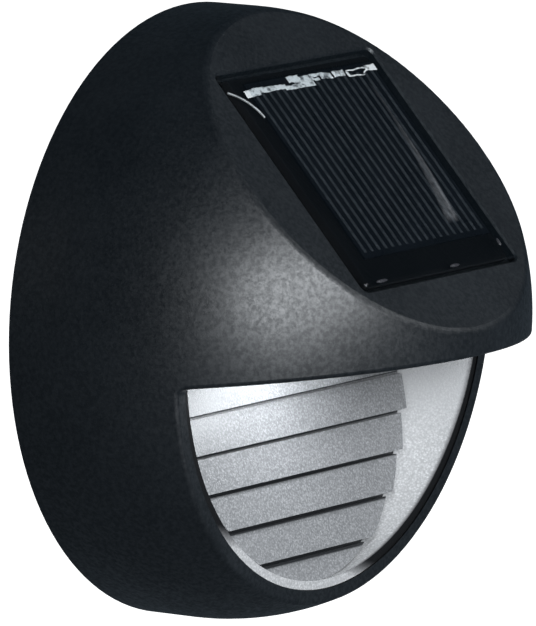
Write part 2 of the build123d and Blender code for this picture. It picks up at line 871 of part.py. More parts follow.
with BuildPart() as panel_leads:
    for lead_x in (-lead_pitch / 2, lead_pitch / 2):
        start = flat_plane.from_local_coords((lead_x, recess_middle + lead_hole_rise, -recess_depth))
        bend = start - flat_plane.z_dir * panel_lead_straight
        lead([start, bend, (lead_x, -board_front, bend.Z)])
save(panel_leads, "panel_leads")

with BuildPart() as led_leads:
    for lead_x in (-lead_pitch / 2, lead_pitch / 2):
        start = led_board_top.from_local_coords((lead_x, led_line, 0))
        rise = (led_lead_rise - start.Z) / led_board_top.z_dir.Z
        bend = start + led_board_top.z_dir * rise
        lead([start, bend, (lead_x, -board_front, bend.Z)])
save(led_leads, "led_leads")

# ---- wall plate: screwed to the fence, the lamp hangs on its three headed studs ----
with BuildPart() as wall_plate:
    with BuildSketch(front_plane(0)):
        Circle(plate_radius)
    extrude(amount=plate_thickness)
    with BuildSketch(front_plane(plate_thickness)):
        Circle(plate_radius)
        Circle(plate_radius - plate_rim_width, mode=Mode.SUBTRACT)
    extrude(amount=plate_rim_height)
    fillet(wall_plate.edges().filter_by(GeomType.CIRCLE).group_by(Axis.Y)[0], plate_edge_radius)
    with BuildSketch(front_plane(plate_thickness)):
        rib_length = plate_radius - plate_rim_width / 2
        with PolarLocations(rib_length / 2, plate_rib_count, start_angle=stud_angles[0]):
            Rectangle(rib_length, plate_rib_width)
        Circle(hub_radius)
        Circle(hub_radius - hub_width, mode=Mode.SUBTRACT)
    extrude(amount=plate_rib_height)
    with BuildSketch(front_plane(plate_thickness)):
        with PolarLocations(stud_circle, stud_count, start_angle=stud_angles[0]):
            Circle(neck_radius)
    extrude(amount=head_depth - plate_thickness)
    with BuildSketch(front_plane(head_depth)):
        with PolarLocations(stud_circle, stud_count, start_angle=stud_angles[0]):
            Circle(head_radius)
    extrude(amount=head_thickness)
    with BuildSketch(front_plane(0)):
        with GridLocations(fence_screw_spacing, 0, 2, 1):
            SlotOverall(fence_slot_length, 2 * fence_slot_radius)
    extrude(amount=plate_thickness, mode=Mode.SUBTRACT)
save(wall_plate, "wall_plate")
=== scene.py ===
import json
import math

import bmesh
import bpy
from mathutils import Matrix, Vector, noise

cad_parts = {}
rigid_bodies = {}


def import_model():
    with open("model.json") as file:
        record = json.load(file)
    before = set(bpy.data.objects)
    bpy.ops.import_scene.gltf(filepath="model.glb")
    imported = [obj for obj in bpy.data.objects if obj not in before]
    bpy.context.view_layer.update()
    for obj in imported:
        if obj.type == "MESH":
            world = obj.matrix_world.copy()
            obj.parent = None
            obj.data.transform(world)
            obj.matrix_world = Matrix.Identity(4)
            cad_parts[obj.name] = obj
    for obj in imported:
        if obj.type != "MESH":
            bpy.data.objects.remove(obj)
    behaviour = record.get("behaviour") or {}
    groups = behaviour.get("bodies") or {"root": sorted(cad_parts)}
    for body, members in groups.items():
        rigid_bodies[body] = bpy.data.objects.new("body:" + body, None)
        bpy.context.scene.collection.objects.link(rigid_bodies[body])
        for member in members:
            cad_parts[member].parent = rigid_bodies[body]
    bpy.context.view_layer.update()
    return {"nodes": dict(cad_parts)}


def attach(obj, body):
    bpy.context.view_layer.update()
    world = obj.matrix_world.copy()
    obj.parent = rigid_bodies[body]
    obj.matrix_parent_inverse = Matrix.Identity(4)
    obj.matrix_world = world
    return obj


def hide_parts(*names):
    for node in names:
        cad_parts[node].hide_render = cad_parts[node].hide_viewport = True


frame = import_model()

nodes = frame["nodes"]
mm = 0.001
toMm = 1000.0


# helpers for materials
class Link:
    # a socket of a finish, with the sums that shaders need
    def __init__(self, finish, socket):
        self.finish = finish
        self.socket = socket

    def sum(self, operation, first, second):
        return self.finish.add("ShaderNodeMath", {"operation": operation}, {0: first, 1: second})

    def __add__(self, other):
        return self.sum("ADD", self, other)

    def __sub__(self, other):
        return self.sum("SUBTRACT", self, other)

    def __rsub__(self, other):
        return self.sum("SUBTRACT", other, self)

    def __mul__(self, other):
        return self.sum("MULTIPLY", self, other)

    def __rmul__(self, other):
        return self.sum("MULTIPLY", other, self)

    def __truediv__(self, other):
        return self.sum("DIVIDE", self, other)

    def __mod__(self, other):
        return self.sum("FLOORED_MODULO", self, other)


class Finish:
    # a material being made; every node comes from add
    def __init__(self, name, tree=None):
        if tree is None:
            self.material = bpy.data.materials.new(name)
            self.material.use_nodes = True
            tree = self.material.node_tree
        self.tree = tree
        self.tree.nodes.clear()

    def add(self, kind, settings=(), values=(), take=0):
        node = self.tree.nodes.new(kind)
        for key, value in dict(settings).items():
            setattr(node, key, value)
        for key, value in dict(values).items():
            if isinstance(value, Link):
                self.tree.links.new(value.socket, node.inputs[key])
            else:
                node.inputs[key].default_value = value
        return Link(self, node.outputs[take]) if node.outputs else None

    def place(self, turn=(0.0, 0.0, 0.0), shift=(0.0, 0.0, 0.0), stretch=(1.0, 1.0, 1.0)):
        # object coordinates in metres, which a pattern may turn, move or stretch
        spot = self.add("ShaderNodeTexCoord", take="Object")
        return self.add(
            "ShaderNodeMapping", {"vector_type": "POINT"},
            {"Vector": spot, "Location": shift, "Rotation": turn, "Scale": stretch},
        )

    def placeOn(self, lean, origin=(0.0, 0.0, 0.0)):
        # the same on a plane that leans about X: y runs up the plane and z out of it
        turn = Matrix.Rotation(lean, 3, "X")
        return self.place((lean, 0.0, 0.0), -(turn @ Vector(origin)))

    def grain(self, size, detail=2.0, rough=0.5, where=None):
        # cloudy pattern with blotches of about this size, in metres
        return self.add(
            "ShaderNodeTexNoise", {},
            {"Vector": where or self.place(), "Scale": 1.0 / size, "Detail": detail, "Roughness": rough},
        )

    def specks(self, size):
        return self.add("ShaderNodeTexVoronoi", {}, {"Vector": self.place(), "Scale": 1.0 / size})

    def ramp(self, value, low, high, first=0.0, last=1.0):
        return self.add(
            "ShaderNodeMapRange", {"clamp": True},
            {"Value": value, "From Min": low, "From Max": high, "To Min": first, "To Max": last},
        )

    def uneven(self, pattern, low, high):
        # roughness that follows a cloudy pattern
        return self.ramp(pattern, 0.3, 0.7, low, high)

    def tint(self, factor, first, second):
        return self.add(
            "ShaderNodeMix", {"data_type": "RGBA"},
            {0: factor, 6: rgba(first), 7: rgba(second)}, take=2,
        )

    def axis(self, name, where=None):
        return self.add("ShaderNodeSeparateXYZ", {}, {"Vector": where or self.place()}, take=name)

    def bump(self, height, depth, strength=1.0):
        return self.add(
            "ShaderNodeBump", {}, {"Height": height, "Distance": depth, "Strength": strength},
        )

    def principled(self, **values):
        named = {key.replace("_", " "): value for key, value in values.items()}
        return self.add("ShaderNodeBsdfPrincipled", {}, named)

    def blend(self, factor, first, second):
        return self.add("ShaderNodeMixShader", {}, {0: factor, 1: first, 2: second})

    def seenDirectly(self):
        # 1 for what the camera sees, straight or through the clear cover
        return (self.add("ShaderNodeLightPath", take="Is Camera Ray")
                + self.add("ShaderNodeLightPath", take="Is Transmission Ray"))

    def done(self, shader, kind="ShaderNodeOutputMaterial"):
        self.add(kind, {}, {"Surface": shader})
        return getattr(self, "material", None)


def rgba(colour):
    if isinstance(colour, Link):
        return colour
    if isinstance(colour, (int, float)):
        return (colour, colour, colour, 1.0)
    return (*colour[:3], 1.0)


# helpers for pieces
def dress(material, *nodeNames):
    for nodeName in nodeNames:
        for spot in nodes[nodeName].material_slots:
            spot.material = material


def intoScene(name, data):
    # new object for a mesh, curve, light or camera
    made = bpy.data.objects.new(name, data)
    bpy.context.scene.collection.objects.link(made)
    return made


def addObject(name, mesh, material=None, body="lamp", stands=()):
    made = intoScene(name, mesh)
    if material is not None:
        mesh.materials.clear()
        mesh.materials.append(material)
    if body is not None:
        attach(made, body)
    if stands:
        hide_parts(*stands)
    return made


def aimAlong(made, way):
    made.rotation_mode = "QUATERNION"
    made.rotation_quaternion = way.to_track_quat("-Z", "Y")


def addAreaLight(name, size, watts, colour, place, way):
    # soft oval lamp at a place in metres, shining along way
    data = bpy.data.lights.new(name, "AREA")
    data.shape = "ELLIPSE"
    data.size, data.size_y = size
    data.energy = watts
    data.color = colour
    lamp = intoScene(name, data)
    lamp.location = place
    aimAlong(lamp, way)
    return lamp


def meshFrom(name, made):
    # plain mesh from a bmesh
    mesh = bpy.data.meshes.new(name)
    made.to_mesh(mesh)
    made.free()
    return mesh


def joinMeshes(name, parts):
    whole = bmesh.new()
    for part in parts:
        whole.from_mesh(part)
        bpy.data.meshes.remove(part)
    return meshFrom(name, whole)


def finalMesh(name, holder):
    # plain mesh of an object with its modifiers applied; the object itself goes away
    graph = bpy.context.evaluated_depsgraph_get()
    mesh = bpy.data.meshes.new_from_object(holder.evaluated_get(graph))
    mesh.name = name
    bpy.data.objects.remove(holder)
    return mesh


def smoothByAngle(mesh, degrees):
    mesh.shade_smooth()
    mesh.set_sharp_from_angle(angle=math.radians(degrees))


def basis(origin, xAxis, zAxis):
    # matrix whose x and z axes point the given ways
    z = Vector(zAxis).normalized()
    x = Vector(xAxis).normalized()
    y = z.cross(x)
    turned = Matrix((x, y, z)).transposed().to_4x4()
    return Matrix.Translation(Vector(origin)) @ turned


def latheMesh(name, outline, steps):
    # outline: (radius, height) pairs from one end of the axis to the other
    made = bmesh.new()
    turns = [2 * math.pi * step / steps for step in range(steps)]
    rings = []
    for radius, height in outline:
        if radius == 0.0:
            rings.append([made.verts.new((0.0, 0.0, height))])
            continue
        rings.append([
            made.verts.new((radius * math.cos(turn), radius * math.sin(turn), height))
            for turn in turns
        ])
    for low, high in zip(rings, rings[1:]):
        for step in range(steps):
            after = (step + 1) % steps
            corners = [
                low[step % len(low)], low[after % len(low)],
                high[after % len(high)], high[step % len(high)],
            ]
            unique = list(dict.fromkeys(corners))
            if len(unique) > 2:
                made.faces.new(unique)
    bmesh.ops.recalc_face_normals(made, faces=made.faces)
    return meshFrom(name, made)


# geometry node trees
class GeoTree:
    # a geometry node tree with named inputs
    def __init__(self, name, inputs):
        self.tree = bpy.data.node_groups.new(name, "GeometryNodeTree")
        face = self.tree.interface
        face.new_socket("Geometry", in_out="INPUT", socket_type="NodeSocketGeometry")
        self.ids = {}
        for label, (kind, start) in inputs.items():
            made = face.new_socket(label, in_out="INPUT", socket_type=kind)
            if start is not None:
                made.default_value = start
            self.ids[label] = made.identifier
        face.new_socket("Geometry", in_out="OUTPUT", socket_type="NodeSocketGeometry")
        self.source = self.tree.nodes.new("NodeGroupInput")

    def entry(self, label):
        return self.source.outputs[label]

    def add(self, kind, settings=(), values=(), take=0):
        node = self.tree.nodes.new(kind)
        for key, value in dict(settings).items():
            setattr(node, key, value)
        for key, value in dict(values).items():
            if isinstance(value, bpy.types.NodeSocket):
                self.tree.links.new(value, node.inputs[key])
            else:
                node.inputs[key].default_value = value
        return node.outputs[take]

    def sum(self, operation, first, second):
        return self.add("ShaderNodeMath", {"operation": operation}, {0: first, 1: second})

    def finish(self, geometry, material):
        whole = self.add("GeometryNodeRealizeInstances", {}, {"Geometry": geometry})
        painted = self.add("GeometryNodeSetMaterial", {}, {"Geometry": whole, "Material": material})
        result = self.tree.nodes.new("NodeGroupOutput")
        self.tree.links.new(painted, result.inputs[0])

    def grow(self, name, base, settings):
        # runs the tree on a base mesh and returns the plain mesh that comes out
        holder = intoScene(name, base)
        modifier = holder.modifiers.new(name, "NODES")
        modifier.node_group = self.tree
        for label, value in settings.items():
            modifier[self.ids[label]] = value
        return finalMesh(name, holder)


def spotMesh(name, spots):
    # one vertex per place, with the way that each piece points kept in an attribute
    mesh = bpy.data.meshes.new(name)
    mesh.from_pydata([tuple(spot.translation) for spot in spots], [], [])
    turns = mesh.attributes.new("turn", "FLOAT_VECTOR", "POINT")
    for index, spot in enumerate(spots):
        turns.data[index].vector = spot.to_euler()
    return mesh


# camera
photoView = {
    "azimuth": -54.73,
    "elevation": 8.57,
    "distance": 1.970,
    "aim": (0.0, -0.0194, 0.0005),     # point of the lamp in the middle of the frame
    "lens": 578.5,
    "sensor": 36.0,
    "clipEnd": 50.0,
}


def bearing(azimuth, elevation):
    # from the lamp towards a camera or a light; azimuth 0 is straight in front
    turn, rise = math.radians(azimuth), math.radians(elevation)
    return Vector((math.sin(turn) * math.cos(rise), -math.cos(turn) * math.cos(rise), math.sin(rise)))


def makeCamera(look):
    data = bpy.data.cameras.new("photoCamera")
    data.lens = look["lens"]
    data.sensor_width = look["sensor"]
    data.clip_end = look["clipEnd"]
    camera = intoScene("photoCamera", data)
    camera.location = bearing(look["azimuth"], look["elevation"]) * look["distance"]
    aimAlong(camera, Vector(look["aim"]) - camera.location)
    bpy.context.scene.camera = camera


makeCamera(photoView)
print("camera ready")

# floor, world and lamps
coolWhite = (0.93, 0.965, 1.0)
studio = {
    "floorHeight": -0.105,
    "floorSize": 8.0,
    "floorColours": ((0.80, 0.80, 0.80), (0.83, 0.83, 0.83)),
    "floorCloud": 0.12,                # size of the faint clouds between the two colours
    "floorRoughness": 0.9,
    "floorLift": (0.93, 0.93, 0.93),   # part of the floor's white that doesn't depend on the lamps
    "floorInGloss": (0.020, 0.034, 0.048),   # the dim cool room that gloss reflects
    "floorBounce": (0.06, 0.063, 0.066),     # how much light the floor sends back up at the lamp
    "surround": (0.021, 0.034, 0.046),
    "ambient": (0.26, 0.265, 0.27),    # soft light from all round that reaches into the pocket
    "lamps": {
        # name: (azimuth, elevation, distance, width, height, watts)
        "keyLamp": (-34.0, 12.0, 1.2, 0.60, 0.48, 9.8),
        "wideKey": (-8.0, 20.0, 1.2, 0.45, 0.55, 6.8),
        "frontFill": (40.0, 30.0, 1.2, 0.50, 0.50, 1.2),
        "backEdge": (-145.0, 15.0, 1.3, 0.50, 0.50, 0.35),
        "backFill": (165.0, 12.0, 1.3, 0.60, 0.60, 2.0),
    },
}


def makeFloor(look):
    half = look["floorSize"] / 2
    mesh = bpy.data.meshes.new("floor")
    corners = [(-half, -half), (half, -half), (half, half), (-half, half)]
    mesh.from_pydata([(x, y, look["floorHeight"]) for x, y in corners], [], [(0, 1, 2, 3)])
    paint = Finish("paleFloor")
    mirrored = paint.add("ShaderNodeLightPath", take="Is Glossy Ray")
    seen = paint.seenDirectly()
    pale = paint.tint(paint.grain(look["floorCloud"], 3.0), *look["floorColours"])
    lift = paint.tint(seen, (0.0, 0.0, 0.0), look["floorLift"])
    card = paint.principled(
        Base_Color=paint.tint(seen, look["floorBounce"], pale),
        Roughness=look["floorRoughness"],
        Emission_Color=paint.tint(mirrored, lift, look["floorInGloss"]),
        Emission_Strength=1.0,
    )
    floor = addObject("floor", mesh, paint.done(card), body=None)


def makeWorld(look):
    world = bpy.data.worlds.new("studio")
    bpy.context.scene.world = world
    world.use_nodes = True
    air = Finish("studio", world.node_tree)
    soft = air.add("ShaderNodeLightPath", take="Is Diffuse Ray")
    room = air.tint(soft, look["surround"], look["ambient"])
    sky = air.add("ShaderNodeBackground", {}, {"Color": air.tint(air.seenDirectly(), room, 1.0)})
    air.done(sky, "ShaderNodeOutputWorld")


def makeStudio(look):
    makeFloor(look)
    makeWorld(look)
    for name, (azimuth, elevation, distance, width, height, watts) in look["lamps"].items():
        where = bearing(azimuth, elevation) * distance
        addAreaLight(name, (width, height), watts, coolWhite, where, -where)
    bpy.context.scene.view_settings.view_transform = "Standard"


makeStudio(studio)
print("studio ready")

# mouldings
charcoal = {
    "colour": (0.0028, 0.0044, 0.0062),
    "worn": (0.0050, 0.0073, 0.0098),
    "grainSize": 0.0006,
    "grainDepth": 0.000028,
    "cloudSize": 0.018,
    "roughness": 0.42,
    "speckle": 0.18,                   # how far the roughness swings from grain to grain
    "gloss": 0.62,
    "patchSize": 0.0010,               # patches that shine a little more than the rest
    "patchGloss": 0.85,
}
blackMoulding = dict(
    charcoal, colour=(0.016, 0.017, 0.018), worn=(0.028, 0.029, 0.030),
    roughness=0.5, gloss=0.5, patchGloss=0.2,
)


def texturedPlastic(name, look):
    # spark-eroded texture of a moulding, a little dusty in its hollows
    paint = Finish(name)
    fine = paint.grain(look["grainSize"], 4.0, 0.8)
    broad = paint.grain(look["cloudSize"], 3.0, 0.55)
    specks = paint.ramp(paint.specks(look["grainSize"] * 1.6), 0.05, 0.55)
    patches = paint.grain(look["patchSize"], 3.0, 0.7, paint.place(shift=(0.3, 0.1, 0.2)))
    dusty = paint.ramp(fine * 0.5 + broad * 0.5, 0.40, 0.62)
    swing = look["speckle"] / 2
    least, most = look["roughness"] - swing, look["roughness"] + swing
    return paint.done(paint.principled(
        Base_Color=paint.tint(dusty, look["colour"], look["worn"]),
        Roughness=paint.ramp(fine * 0.8 + broad * 0.2, 0.36, 0.64, least, most),
        Normal=paint.bump(fine * 0.85 + specks * 0.15, look["grainDepth"]),
        Specular_IOR_Level=look["gloss"],
        Coat_Weight=paint.ramp(patches, 0.39, 0.64, 0.0, look["patchGloss"]),
        Coat_Roughness=look["roughness"],
    ))


dress(texturedPlastic("charcoalMoulding", charcoal), "housing")
dress(texturedPlastic("blackMoulding", blackMoulding), "back_cover", "battery_door", "wall_plate")

silver = {
    "dark": (0.42, 0.424, 0.430),
    "light": (0.70, 0.704, 0.712),
    "flakeSize": 0.00046,
    "flakeDepth": 0.00004,
    "metal": 0.12,
    "roughness": (0.42, 0.60),
    "rimOrigin": Vector((0.0, -35.7, -6.3)) * mm,
    "rimLean": math.radians(-92.2),    # the mouth's plane, as a turn about X
    "bareColour": (0.004, 0.004, 0.0045),
    "bareDepth": 0.00042,              # the black moulding shows at the lip
    "bareAbove": (-0.049, -0.045),     # but neither it nor the painted shade beside it along the bottom of the mouth
    "bareSlant": 0.28,
    "shadeColour": (0.10, 0.10, 0.105),
    "shadeDepth": 0.0011,              # where the painted shade beside the lip ends
    # painted shade under the lid: its colour, where it runs in z, and its share
    "lidShadeColour": (0.30, 0.303, 0.308),
    "lidShadeAbove": (-0.032, -0.016),     # painted shade up under the lid
    "lidShadeShare": 0.9,
}
slats = {
    "dark": (0.17, 0.174, 0.180),
    "light": (0.355, 0.36, 0.368),
    "origin": Vector((0.0, -22.3, -6.3)) * mm,
    "lean": math.radians(-81.5),       # the slats' plane, as a turn about X
    "firstDrop": 1.1,                  # from here on in mm: the first slat's start, down the plane
    "pitch": 7.75,
    "groove": 0.8,
    "shade": (-0.35, 0.55),            # deeper shade under each slat, at the first and at the last
    # painted shadow in the grooves and under each slat
    "grooveShadowColour": (0.012, 0.013, 0.015),
}


def flakePaint(paint, look):
    # aluminium flake paint: its colour, roughness and normal
    flakes = paint.grain(look["flakeSize"], 3.0, 0.75)
    glints = paint.ramp(paint.specks(look["flakeSize"] * 1.1), 0.0, 0.6, 1.0, 0.0)
    mixed = paint.ramp(flakes * 0.75 + glints * 0.25, 0.33, 0.66)
    return (
        paint.tint(mixed, look["dark"], look["light"]),
        paint.ramp(mixed, 0.0, 1.0, *look["roughness"]),
        paint.bump(flakes + glints * 0.3, look["flakeDepth"]),
    )


def sprayedSilver(name, look):
    # flake paint with bare black plastic at the lip of the mouth, a band of painted shade beside the lip, and
    # painted shade up under the lid
    paint = Finish(name)
    colour, roughness, normal = flakePaint(paint, look)
    depth = 0.0 - paint.axis("Z", paint.placeOn(look["rimLean"], look["rimOrigin"]))
    side = paint.ramp(paint.axis("Z") + paint.axis("X") * look["bareSlant"], *look["bareAbove"])
    # painted shade in a band beside the lip, darkest next to the bare lip
    rimShade = paint.ramp(depth, look["bareDepth"], look["shadeDepth"], 1.0, 0.0) * side
    bare = paint.ramp(depth, look["bareDepth"] - 0.1 * mm, look["bareDepth"], 1.0, 0.0) * side
    # painted shade up under the lid
    lidShade = paint.ramp(paint.axis("Z"), *look["lidShadeAbove"], 0.0, look["lidShadeShare"])
    coat = paint.tint(lidShade, colour, look["lidShadeColour"])
    edge = paint.tint(rimShade, coat, look["shadeColour"])
    return paint.done(paint.principled(
        Base_Color=paint.tint(bare, edge, look["bareColour"]),
        Metallic=look["metal"],
        Roughness=roughness,
        Normal=normal,
    ))


def slatFinish(name, look):
    # the same paint on the slats, with painted shadow dark in their grooves and under each slat
    paint = Finish(name)
    colour, roughness, normal = flakePaint(paint, look)
    pitch, groove = look["pitch"], look["groove"]
    drop = paint.axis("Y", paint.placeOn(look["lean"], look["origin"])) * -toMm - look["firstDrop"]
    reach = paint.ramp(drop, pitch, 5 * pitch, *look["shade"])
    # painted shadow line at each groove, growing wider down the louvre
    line = paint.ramp(drop % pitch - reach, groove - 0.1, groove + 0.2, 1.0, 0.0)
    shaded = line * paint.ramp(drop, pitch - 0.1, pitch)
    return paint.done(paint.principled(
        Base_Color=paint.tint(shaded, colour, look["grooveShadowColour"]),
        Metallic=look["metal"] * (1.0 - shaded),
        Roughness=roughness,
        Normal=normal,
    ))


dress(sprayedSilver("silverPan", silver), "reflector")
dress(slatFinish("silverSlats", dict(silver, **slats)), "louvre")
print("mouldings dressed")

# solar panel
flat = {"tilt": math.radians(48.0), "distance": 52.4 * mm}
flatNormal = Vector((0.0, -math.sin(flat["tilt"]), math.cos(flat["tilt"])))
flatPlace = basis(flatNormal * flat["distance"], (1, 0, 0), flatNormal)
flatLean = -flat["tilt"]               # the flat's plane, as a turn about X

silicon = {
    "colours": ((0.003, 0.0036, 0.005), (0.006, 0.007, 0.0095)),
    "crystalSize": 0.006,
    "hazeSize": 0.009,
    "roughness": (0.22, 0.34),
    "gloss": 0.15,
}


def siliconFinish(look):
    paint = Finish("darkSilicon")
    haze = paint.grain(look["hazeSize"], 3.0)
    mixed = paint.ramp(paint.specks(look["crystalSize"]) * 0.5 + haze * 0.5, 0.2, 0.8)
    return paint.done(paint.principled(
        Base_Color=paint.tint(mixed, *look["colours"]),
        Roughness=paint.uneven(haze, *look["roughness"]),
        Specular_IOR_Level=look["gloss"],
        Normal=paint.bump(paint.grain(0.0004, 2.0), 0.00001),
    ))


metals = {
    # name: (dark, light, metallic, roughness)
    "printedFingers": ((0.022, 0.025, 0.029), (0.046, 0.050, 0.056), 0.2, 0.5),
    "tinnedWire": ((0.24, 0.24, 0.24), (0.50, 0.50, 0.50), 0.3, 0.4),
    "zincScrew": ((0.42, 0.42, 0.41), (0.66, 0.66, 0.64), 1.0, 0.34),
    "nickelPlate": ((0.52, 0.51, 0.48), (0.72, 0.71, 0.67), 1.0, 0.3),
}


def wornMetal(name):
    dark, light, metal, roughness = metals[name]
    paint = Finish(name)
    worn = paint.grain(0.0011, 3.0, 0.6)
    return paint.done(paint.principled(
        Base_Color=paint.tint(paint.ramp(worn, 0.35, 0.65), dark, light),
        Metallic=metal,
        Roughness=paint.uneven(worn, roughness - 0.1, roughness + 0.1),
        Normal=paint.bump(paint.grain(0.00025, 2.0), 0.00001),
    ))


cell = {
    "top": -0.6 * mm,                  # silicon surface, from the plane of the flat
    "shift": 2.9 * mm,                 # the cell sits to the right in its recess
    "middle": -3.75 * mm,              # centre of the fingers, up the slope
    "fingerCount": 18,
    "fingerPitch": 2.36 * mm,
    "fingerWidth": 0.85 * mm,
    "fingerLength": 39.2 * mm,
    "fingerHeight": 0.03 * mm,
    "fingerCuts": 12,                  # points along each finger
}


def rowTree(cuts):
    # a row of thin bars side by side
    tree = GeoTree("barRow", {
        "Count": ("NodeSocketInt", 4),
        "Pitch": ("NodeSocketFloat", 0.002),
        "Width": ("NodeSocketFloat", 0.0005),
        "Length": ("NodeSocketFloat", 0.02),
        "Height": ("NodeSocketFloat", 0.0001),
        "Material": ("NodeSocketMaterial", None),
    })
    step = tree.add("ShaderNodeCombineXYZ", {}, {"X": tree.entry("Pitch")})
    span = tree.sum("MULTIPLY", tree.sum("SUBTRACT", tree.entry("Count"), 1.0), tree.entry("Pitch"))
    first = tree.add("ShaderNodeCombineXYZ", {}, {"X": tree.sum("MULTIPLY", span, -0.5)})
    row = tree.add("GeometryNodeMeshLine", {"mode": "OFFSET"},
                   {"Count": tree.entry("Count"), "Start Location": first, "Offset": step})
    size = tree.add("ShaderNodeCombineXYZ", {},
                    {"X": tree.entry("Width"), "Y": tree.entry("Length"), "Z": tree.entry("Height")})
    bar = tree.add("GeometryNodeMeshCube", {}, {"Size": size, "Vertices Y": cuts})
    bars = tree.add("GeometryNodeInstanceOnPoints", {}, {"Points": row, "Instance": bar})
    tree.finish(bars, tree.entry("Material"))
    return tree


def makeFingers(look):
    mesh = rowTree(look["fingerCuts"]).grow("cell_fingers", bpy.data.meshes.new("cell_fingers_start"), {
        "Count": look["fingerCount"],
        "Pitch": look["fingerPitch"],
        "Width": look["fingerWidth"],
        "Length": look["fingerLength"],
        "Height": look["fingerHeight"],
        "Material": wornMetal("printedFingers"),
    })
    lift = look["top"] + look["fingerHeight"] / 2
    mesh.transform(flatPlace @ Matrix.Translation((look["shift"], look["middle"], lift)))
    addObject("cell_fingers", mesh, None, "lamp")


ribbon = {
    # crumpled tinned foil along the cell's upper edge, in mm on the flat:
    # (left x, its middle up the slope, right x, its middle, width at the left, width at the right)
    "strips": [
        (-20.4, 15.3, -15.6, 15.6, 1.7, 1.8),
        (-16.0, 15.7, -6.6, 15.6, 1.4, 1.0),
        (-7.2, 15.1, 2.8, 15.2, 0.9, 1.3),
        (-3.4, 16.1, 3.4, 16.1, 0.6, 0.8),
        (-5.0, 16.95, -1.0, 16.9, 1.5, 1.3),
        (-1.4, 16.8, 4.0, 16.8, 0.7, 0.7),
        (3.6, 16.8, 6.0, 16.9, 0.9, 0.6),
        (3.3, 15.8, 5.1, 15.9, 0.5, 0.7),
        (5.7, 16.5, 9.4, 16.1, 1.5, 1.3),
        (10.0, 16.2, 13.8, 16.25, 1.4, 1.3),
        (14.3, 15.8, 15.1, 15.8, 1.1, 0.8),
        (14.6, 16.45, 22.0, 16.55, 0.25, 0.4),
        (14.4, 15.15, 19.8, 15.0, 0.35, 0.25),
        (19.5, 15.3, 21.2, 15.8, 0.25, 0.4),
        (21.0, 16.35, 24.6, 16.2, 1.2, 1.5),
    ],
    "crinkle": 0.2,
    "bottom": -0.57,
    "step": 0.012,                     # each strip lies this much over the last
    "thickness": 0.05,
    "creaseLength": 0.3,
    "rows": 6,                         # faces across a strip
    "wander": 0.16,                    # how far a strip strays from its line
    "ragged": 0.32,                    # how much its width varies, as a share
    # painted shade of the crumpled foil, in random patches
    "foilShadeColour": (0.16, 0.165, 0.17),
    # near white: painted glint of the tinned foil
    "colours": ((0.86, 0.865, 0.86), (0.99, 0.99, 0.98)),
    "roughness": (0.34, 0.5),
}


def foilFinish(look):
    # solder-tinned foil, painted near white for its glints, with random patches of painted shade
    paint = Finish("tinnedFoil")
    # random patches of painted shade
    shadePatches = paint.ramp(paint.grain(0.0019, 3.0, 0.65), 0.36, 0.50)
    fine = paint.grain(0.0005, 2.0)
    return paint.done(paint.principled(
        Base_Color=paint.tint(shadePatches, look["foilShadeColour"], paint.tint(fine, *look["colours"])),
        Metallic=0.1,
        Roughness=paint.uneven(fine, *look["roughness"]),
        Normal=paint.bump(fine, 0.00002),
    ))


def addStrip(made, look, index):
    # one crumpled strip: a grid whose line, width and height all wander
    left, leftMiddle, right, rightMiddle, leftWidth, rightWidth = look["strips"][index]
    columns, rows = round((right - left) / look["creaseLength"]), look["rows"]
    grid = []
    for column in range(columns + 1):
        part = column / columns
        x = left + (right - left) * part
        width = leftWidth + (rightWidth - leftWidth) * part
        middle = leftMiddle + (rightMiddle - leftMiddle) * part
        middle += noise.noise(Vector((x * 0.5, 0.0, index * 5.0))) * look["wander"]
        ragged = 1.0 + look["ragged"] * noise.noise(Vector((x * 1.3, 4.0, index * 3.0)))
        line = []
        for row in range(rows + 1):
            across = row / rows - 0.5
            lift = 0.5 + 0.5 * noise.noise(Vector((x * 1.9, across * 3.0, index * 9.0)))
            height = look["bottom"] + index * look["step"] + lift * look["crinkle"]
            line.append(made.verts.new(Vector((x, middle + across * width * ragged, height)) * mm))
        grid.append(line)
    for first, second in zip(grid, grid[1:]):
        for row in range(rows):
            made.faces.new((first[row], second[row], second[row + 1], first[row + 1]))


def makeRibbon(look):
    made = bmesh.new()
    for index in range(len(look["strips"])):
        addStrip(made, look, index)
    mesh = meshFrom("cell_foil", made)
    mesh.transform(flatPlace)
    foil = addObject("cell_foil", mesh, foilFinish(look), "lamp", ("cell_ribbon",))
    thick = foil.modifiers.new("thickness", "SOLIDIFY")
    thick.thickness = look["thickness"] * mm
    thick.offset = 1.0
    mesh.shade_smooth()


# tinned wire that leaves the cell's upper left corner, in mm on the flat
cellWire = {
    "route": [
        (-25.0, 16.6, -0.75), (-23.5, 15.5, -0.55), (-21.9, 14.0, -0.4),
        (-20.7, 12.4, -0.36), (-19.9, 10.8, -0.36), (-19.5, 9.6, -0.42),
    ],
    "radius": 0.24,
    "roundness": 2,                    # more makes a rounder section
    "steps": 6,                        # points along the wire from one place of the route to the next
}


def makeCellWire(look):
    curve = bpy.data.curves.new("cell_wire", "CURVE")
    curve.dimensions = "3D"
    curve.bevel_depth = look["radius"] * mm
    curve.bevel_resolution = look["roundness"]
    curve.resolution_u = look["steps"]
    curve.use_fill_caps = True
    line = curve.splines.new("BEZIER")
    line.bezier_points.add(len(look["route"]) - 1)
    for knot, spot in zip(line.bezier_points, look["route"]):
        knot.co = flatPlace @ (Vector(spot) * mm)
        knot.handle_left_type = knot.handle_right_type = "AUTO"
    mesh = finalMesh("cell_wire", intoScene("cell_wire", curve))
    bpy.data.curves.remove(curve)
    smoothByAngle(mesh, 60)
    addObject("cell_wire", mesh, wornMetal("tinnedWire"), "lamp")


